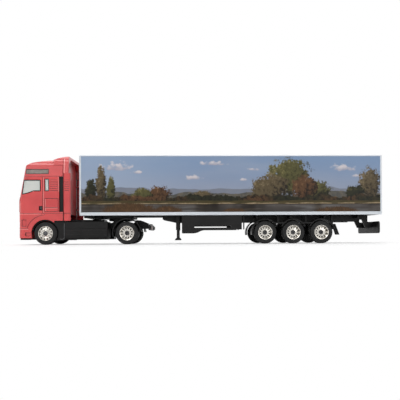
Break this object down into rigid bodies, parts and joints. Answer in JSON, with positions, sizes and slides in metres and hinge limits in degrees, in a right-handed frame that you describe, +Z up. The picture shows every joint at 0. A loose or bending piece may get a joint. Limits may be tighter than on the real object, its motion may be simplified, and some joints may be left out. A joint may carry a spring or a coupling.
{
  "type": "scale model articulated box truck",
  "caption": "Small plastic model of a high-roof tractor unit with a box semi-trailer: trailer swings on its kingpin, wheel sets roll, landscape picture on the sides.",
  "frame": {"origin": "on the ground under the middle of the whole vehicle, halfway along and across", "axes": "-Y towards the nose, +X towards the vehicle's left side, +Z up"},
  "size_m": [0.0294, 0.19, 0.0462],
  "materials": {
    "red_plastic": "glossy moulded plastic",
    "clear_glazing": "clear plastic panes",
    "smoked_glazing": "dark smoked panes",
    "black_plastic": "satin moulded plastic",
    "interior_plastic": "matt moulded plastic",
    "lamp_clear": "silvered lens",
    "lamp_red": "red lens",
    "white_plastic": "smooth white plastic",
    "printed_film": "printed landscape under clear film",
    "grey_metal": "plain metal pins and bars",
    "chrome_plastic": "bright chromed plastic",
    "tyre_rubber": "soft black rubber"
  },
  "bodies": {
    "tractor": {"cab_shell": "red_plastic", "high_roof": "red_plastic", "cab_glazing": "clear_glazing", "upper_side_windows": "smoked_glazing", "front_bumper": "red_plastic", "front_grilles": "black_plastic", "headlamps": "lamp_clear", "front_lip": "black_plastic", "roof_deflector": "red_plastic", "side_deflectors": "red_plastic", "air_intakes": "black_plastic", "door_handles": "black_plastic", "cab_floor": "interior_plastic", "seats": "interior_plastic", "bunk": "interior_plastic", "dashboard": "interior_plastic", "steering_wheel": "interior_plastic", "chassis_frame": "black_plastic", "drive_case": "black_plastic", "side_tanks": "black_plastic", "front_mudguards": "black_plastic", "rear_mudguards": "black_plastic", "fifth_wheel": "black_plastic", "ramps": "black_plastic", "tractor_tail_lamps": "lamp_red"},
    "trailer": {"trailer_box": "white_plastic", "picture_panels": "printed_film", "rear_doors": "white_plastic", "lock_bars": "grey_metal", "trailer_floor": "black_plastic", "trailer_frame": "black_plastic", "kingpin": "grey_metal", "landing_legs": "black_plastic", "side_guards": "black_plastic", "trailer_mudguards": "black_plastic", "mudflaps": "black_plastic", "rear_bumper": "black_plastic", "trailer_tail_lamps": "lamp_red"},
    "front_wheels": {"front_axle": "grey_metal", "front_rims": "chrome_plastic", "front_tyres": "tyre_rubber"},
    "drive_wheels": {"drive_axle": "grey_metal", "drive_rims": "chrome_plastic", "drive_tyres": "tyre_rubber"},
    "trailer_wheels_1": {"trailer_axle_1": "grey_metal", "trailer_rims_1": "chrome_plastic", "trailer_tyres_1": "tyre_rubber"},
    "trailer_wheels_2": {"trailer_axle_2": "grey_metal", "trailer_rims_2": "chrome_plastic", "trailer_tyres_2": "tyre_rubber"},
    "trailer_wheels_3": {"trailer_axle_3": "grey_metal", "trailer_rims_3": "chrome_plastic", "trailer_tyres_3": "tyre_rubber"}
  },
  "joints": [
    {"name": "trailer_swing", "type": "hinge", "parent": "tractor", "child": "trailer", "pos_m": [0, -0.04455, 0.0136], "axis": [0, 0, 1], "range_deg": [-90, 90]},
    {"name": "front_wheels_roll", "type": "hinge", "parent": "tractor", "child": "front_wheels", "pos_m": [0, -0.08025, 0.0059], "axis": [1, 0, 0], "continuous": true},
    {"name": "drive_wheels_roll", "type": "hinge", "parent": "tractor", "child": "drive_wheels", "pos_m": [0, -0.03855, 0.0059], "axis": [1, 0, 0], "continuous": true},
    {"name": "trailer_wheels_1_roll", "type": "hinge", "parent": "trailer", "child": "trailer_wheels_1", "pos_m": [0, 0.03345, 0.0059], "axis": [1, 0, 0], "continuous": true},
    {"name": "trailer_wheels_2_roll", "type": "hinge", "parent": "trailer", "child": "trailer_wheels_2", "pos_m": [0, 0.04825, 0.0059], "axis": [1, 0, 0], "continuous": true},
    {"name": "trailer_wheels_3_roll", "type": "hinge", "parent": "trailer", "child": "trailer_wheels_3", "pos_m": [0, 0.06305, 0.0059], "axis": [1, 0, 0], "continuous": true}
  ]
}
